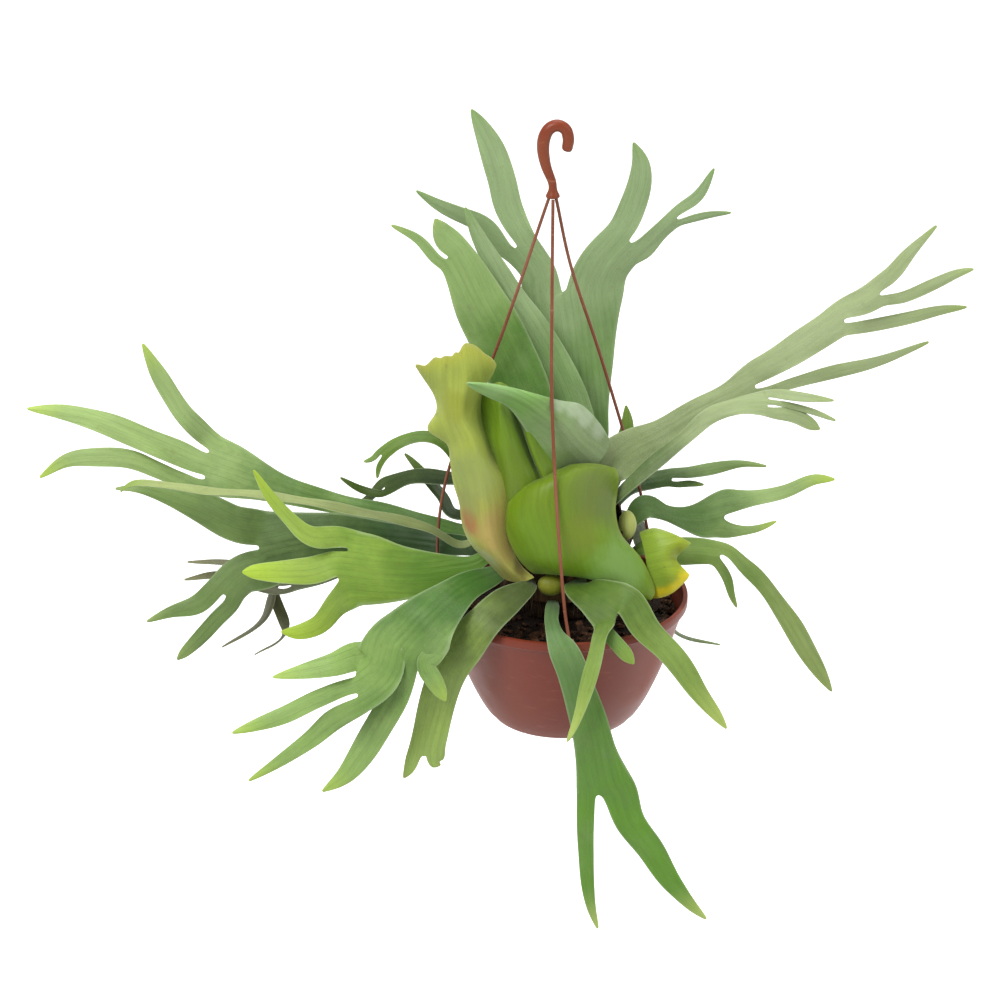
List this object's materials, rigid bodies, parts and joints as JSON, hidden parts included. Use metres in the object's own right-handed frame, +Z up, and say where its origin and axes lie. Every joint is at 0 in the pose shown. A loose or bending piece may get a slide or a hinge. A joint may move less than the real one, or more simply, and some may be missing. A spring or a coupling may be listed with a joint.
{
  "type": "staghorn fern in a hanging pot",
  "caption": "A staghorn fern with forked, felted grey-green antler fronds and yellow-green shield fronds, growing from a round terracotta-coloured hanging pot with a three-strand hook hanger.",
  "frame": {"origin": "The underside of the hook's bend, where the hook rests on its nail, rail or ceiling hook.", "axes": "+X to the plant's right as seen from the front, +Y away from the front, +Z up."},
  "size_m": [0.6385, 0.3113, 0.5353],
  "materials": {
    "fertile_frond": "leathery green blade under a thin grey-white felt",
    "shield_frond": "yellow-green papery shield, tan veins, browning edge",
    "frond_bud": "young rounded shield, smooth and yellow-green",
    "root_fibre": "old brown shields, peat and root fibre",
    "bark_mix": "damp dark bark and peat",
    "terracotta_plastic": "moulded terracotta-coloured plastic, dusty bloom",
    "hook_plastic": "moulded red-brown plastic, satin",
    "strand_plastic": "moulded red-brown plastic strap, worn pale on its edges"
  },
  "bodies": {
    "root": {"bud_front": "frond_bud", "bud_side": "frond_bud", "frond_back_low": "fertile_frond", "frond_back_out": "fertile_frond", "frond_back_right": "fertile_frond", "frond_center_fold": "fertile_frond", "frond_front_fork": "fertile_frond", "frond_front_long": "fertile_frond", "frond_front_small": "fertile_frond", "frond_left_arched": "fertile_frond", "frond_left_bright": "fertile_frond", "frond_left_dark": "fertile_frond", "frond_left_grey": "fertile_frond", "frond_left_shaded": "fertile_frond", "frond_left_sliver": "fertile_frond", "frond_left_thin": "fertile_frond", "frond_low_blunt": "fertile_frond", "frond_low_left": "fertile_frond", "frond_right_cupped": "fertile_frond", "frond_right_dark": "fertile_frond", "frond_right_droop": "fertile_frond", "frond_right_fold": "fertile_frond", "frond_right_long": "fertile_frond", "frond_right_tip": "fertile_frond", "frond_tall_back": "fertile_frond", "frond_upper_left": "fertile_frond", "frond_upper_strap": "fertile_frond", "hanger_hook": "hook_plastic", "hanger_strand_front": "strand_plastic", "hanger_strand_left": "strand_plastic", "hanger_strand_right": "strand_plastic", "pot": "terracotta_plastic", "potting_mix": "bark_mix", "root_mound": "root_fibre", "shield_back": "shield_frond", "shield_front": "shield_frond", "shield_inner": "shield_frond", "shield_right": "shield_frond", "shield_tall": "shield_frond"}
  },
  "joints": []
}
